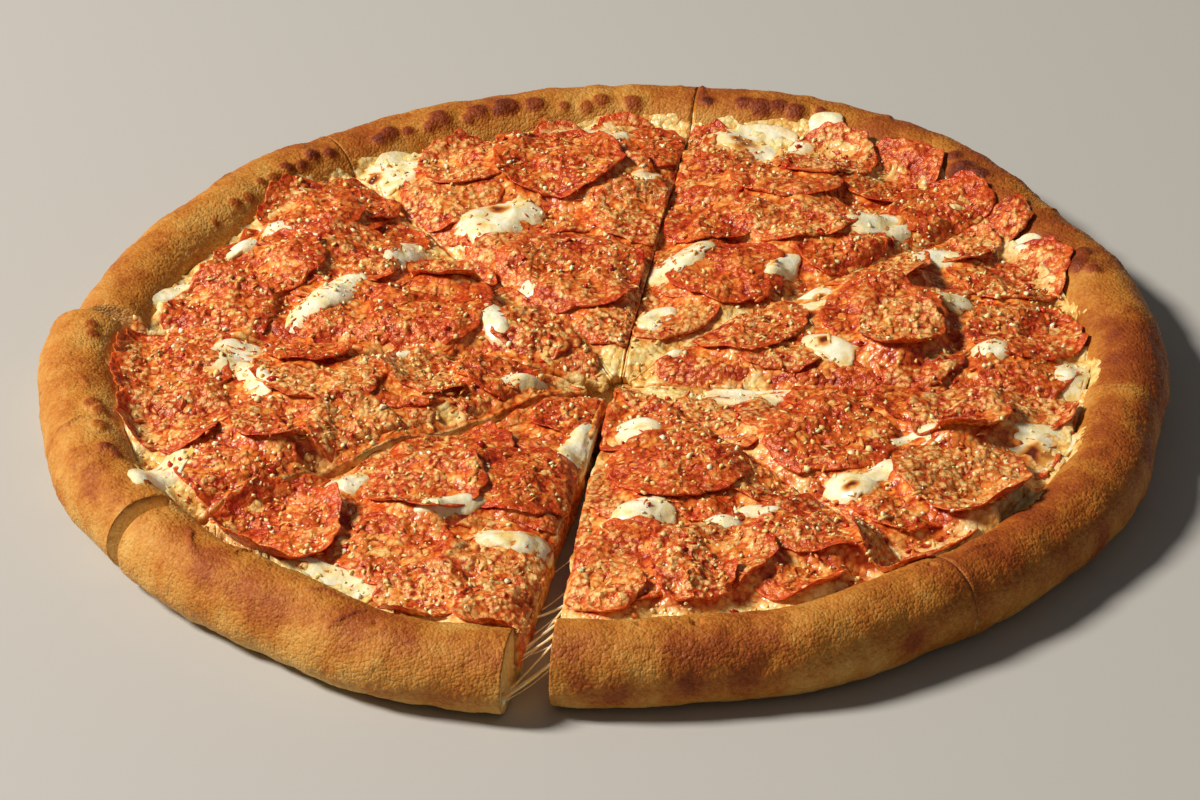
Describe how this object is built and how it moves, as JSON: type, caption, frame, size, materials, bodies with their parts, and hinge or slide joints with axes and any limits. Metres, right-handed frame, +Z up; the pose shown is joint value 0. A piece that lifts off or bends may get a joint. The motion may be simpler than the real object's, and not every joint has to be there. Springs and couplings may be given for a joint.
{
  "type": "sliced pepperoni pizza",
  "caption": "Whole round pepperoni pizza with a raised golden crust rim, melted cheese and overlapping pepperoni, cut into wedge slices that still lie together.",
  "frame": {"origin": "on the surface the pizza rests on, under the middle of its bounds", "axes": "+Z up, -Y toward the side where the two front slices stand apart, +X to the right seen from there"},
  "size_m": [0.3502, 0.349, 0.0257],
  "materials": {
    "crust": "baked, golden brown, finely blistered, satin",
    "melted_cheese": "melted, oily, semi-gloss",
    "pepperoni": "oily, wrinkled, semi-gloss",
    "mozzarella": "melted, creamy white, glossy"
  },
  "bodies": {
    "root": {"dough_1": "crust", "cheese_1": "melted_cheese", "pepperoni_1_1": "pepperoni", "pepperoni_1_2": "pepperoni", "pepperoni_1_3": "pepperoni", "pepperoni_1_4": "pepperoni", "pepperoni_1_5": "pepperoni", "dough_2": "crust", "cheese_2": "melted_cheese", "pepperoni_2_1": "pepperoni", "pepperoni_2_2": "pepperoni", "pepperoni_2_3": "pepperoni", "pepperoni_2_4": "pepperoni", "pepperoni_2_5": "pepperoni", "mozzarella_2_1": "mozzarella", "dough_3": "crust", "cheese_3": "melted_cheese", "pepperoni_3_1": "pepperoni", "pepperoni_3_2": "pepperoni", "pepperoni_3_3": "pepperoni", "pepperoni_3_4": "pepperoni", "mozzarella_3_1": "mozzarella", "mozzarella_3_2": "mozzarella", "dough_4": "crust", "cheese_4": "melted_cheese", "pepperoni_4_1": "pepperoni", "pepperoni_4_2": "pepperoni", "pepperoni_4_3": "pepperoni", "pepperoni_4_4": "pepperoni", "pepperoni_4_5": "pepperoni", "mozzarella_4_1": "mozzarella", "dough_5": "crust", "cheese_5": "melted_cheese", "pepperoni_5_1": "pepperoni", "pepperoni_5_2": "pepperoni", "pepperoni_5_3": "pepperoni", "pepperoni_5_4": "pepperoni", "dough_6": "crust", "cheese_6": "melted_cheese", "pepperoni_6_1": "pepperoni", "pepperoni_6_2": "pepperoni", "pepperoni_6_3": "pepperoni", "pepperoni_6_4": "pepperoni", "mozzarella_6_1": "mozzarella", "mozzarella_6_2": "mozzarella", "dough_7": "crust", "cheese_7": "melted_cheese", "pepperoni_7_1": "pepperoni", "pepperoni_7_2": "pepperoni", "pepperoni_7_3": "pepperoni", "pepperoni_7_4": "pepperoni", "pepperoni_7_5": "pepperoni", "dough_8": "crust", "cheese_8": "melted_cheese", "pepperoni_8_1": "pepperoni", "pepperoni_8_2": "pepperoni", "pepperoni_8_3": "pepperoni", "pepperoni_8_4": "pepperoni", "mozzarella_8_1": "mozzarella", "mozzarella_8_2": "mozzarella"}
  },
  "joints": []
}
